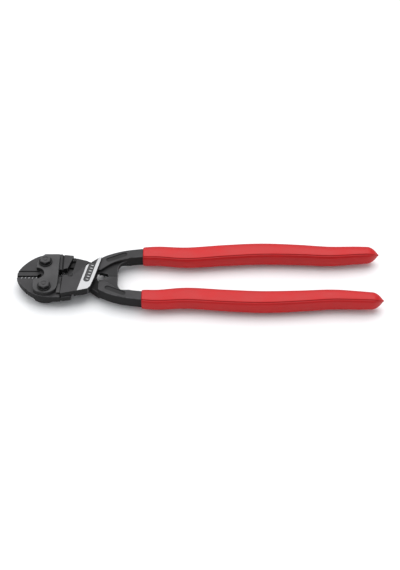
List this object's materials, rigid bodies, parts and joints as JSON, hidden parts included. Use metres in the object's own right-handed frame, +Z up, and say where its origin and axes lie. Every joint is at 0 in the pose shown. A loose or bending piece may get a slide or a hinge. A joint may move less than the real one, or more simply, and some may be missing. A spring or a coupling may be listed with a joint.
{
  "type": "bolt cutters",
  "caption": "Compact bolt cutters with two crossing levers, a fixed and a moving jaw held by link plates, and slim dip-coated grips.",
  "frame": {"origin": "on the rest plane, under the middle of the tool's length and width", "axes": "+X along the tool from the jaws to the handles, +Y from the lower handle to the upper handle, +Z up from the rest plane"},
  "size_m": [0.2496, 0.0576, 0.0169],
  "materials": {
    "lever_steel": "forged, black oxide, bright ground band across the neck",
    "jaw_steel": "hardened, black oxide",
    "plate_steel": "black oxide",
    "fastener_steel": "black oxide",
    "pin_steel": "ground",
    "bush_bronze": "turned",
    "grip_coat": "glossy dip coat"
  },
  "bodies": {
    "fixed_half": {"upper_lever": "lever_steel", "pivot_rivet": "pin_steel", "upper_jaw": "jaw_steel", "front_link_plate": "plate_steel", "rear_link_plate": "plate_steel", "upper_jaw_bolt": "fastener_steel", "lower_jaw_bolt": "fastener_steel", "upper_jaw_nut": "fastener_steel", "lower_jaw_nut": "fastener_steel", "upper_collar": "fastener_steel", "lower_collar": "fastener_steel", "upper_washer": "fastener_steel", "lower_washer": "fastener_steel", "lower_jaw_bush": "bush_bronze", "jaw_dowel": "pin_steel", "lever_dowels": "pin_steel", "upper_grip": "grip_coat"},
    "lower_handle": {"lower_lever": "lever_steel", "lower_grip": "grip_coat"},
    "moving_jaw": {"lower_jaw": "jaw_steel"}
  },
  "joints": [
    {"name": "handle_hinge", "type": "hinge", "parent": "fixed_half", "child": "lower_handle", "pos_m": [-0.0755, 0, 0.0079], "axis": [0, 0, 1], "range_deg": [-22, 0]},
    {"name": "jaw_hinge", "type": "hinge", "parent": "fixed_half", "child": "moving_jaw", "pos_m": [-0.1051, -0.0129, 0.0079], "axis": [0, 0, 1], "range_deg": [0, 17.3]}
  ],
  "couplings": [
    {"joint": "jaw_hinge", "follows": "handle_hinge", "ratio": -0.785}
  ]
}
